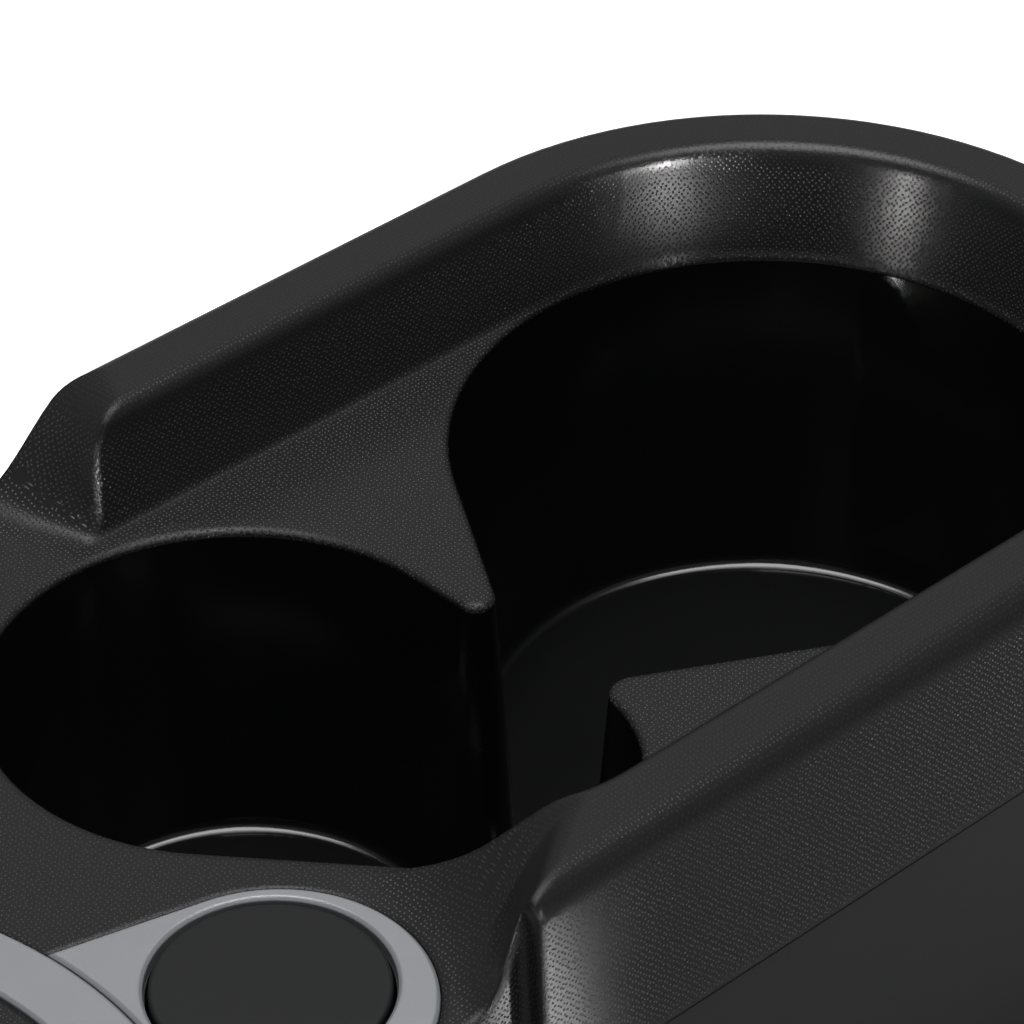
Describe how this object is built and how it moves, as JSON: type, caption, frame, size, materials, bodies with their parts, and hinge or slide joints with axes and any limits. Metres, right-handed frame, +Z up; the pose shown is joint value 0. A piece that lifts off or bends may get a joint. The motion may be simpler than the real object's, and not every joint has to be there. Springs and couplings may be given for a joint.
{
  "type": "car cup holder",
  "caption": "Console cup holder with a round rear well and a teardrop front well joined by a neck, a raised horseshoe rim and a push button in a grey bezel.",
  "frame": {"origin": "middle of the base, on the surface that the module is bolted to", "axes": "+X to the rear of the car, along the module; +Y across, away from the button; +Z up"},
  "size_m": [0.254, 0.1444, 0.0892],
  "materials": {
    "grained_plastic": "fine pebble grain, soft satin sheen",
    "gloss_black": "smooth and glossy",
    "satin_plastic": "smooth satin",
    "silver_trim": "fine silver-grey paint",
    "button_plastic": "very fine matt",
    "switch_plastic": "plain moulded",
    "board": "lacquered green board",
    "dome_rubber": "soft grey silicone",
    "connector_plastic": "pale moulded",
    "screw_steel": "zinc plated",
    "foam": "closed-cell foam",
    "bush_steel": "turned steel"
  },
  "bodies": {
    "module": {"top_trim": "grained_plastic", "cup_tub": "gloss_black", "lower_housing": "satin_plastic", "button_bezel": "silver_trim", "front_bow": "silver_trim", "switch_housing": "switch_plastic", "switch_board": "board", "switch_dome": "dome_rubber", "switch_connector": "connector_plastic", "switch_screws": "screw_steel", "tub_screws": "screw_steel", "housing_screws": "screw_steel", "foam_pads": "foam", "mount_bushes": "bush_steel"},
    "button": {"button_cap": "button_plastic"}
  },
  "joints": [
    {"name": "button_press", "type": "slide", "parent": "module", "child": "button", "axis": [0, 0, -1], "range_m": [0, 0.002], "stiffness_N_per_m": 1500, "deforming": ["switch_dome"]}
  ]
}
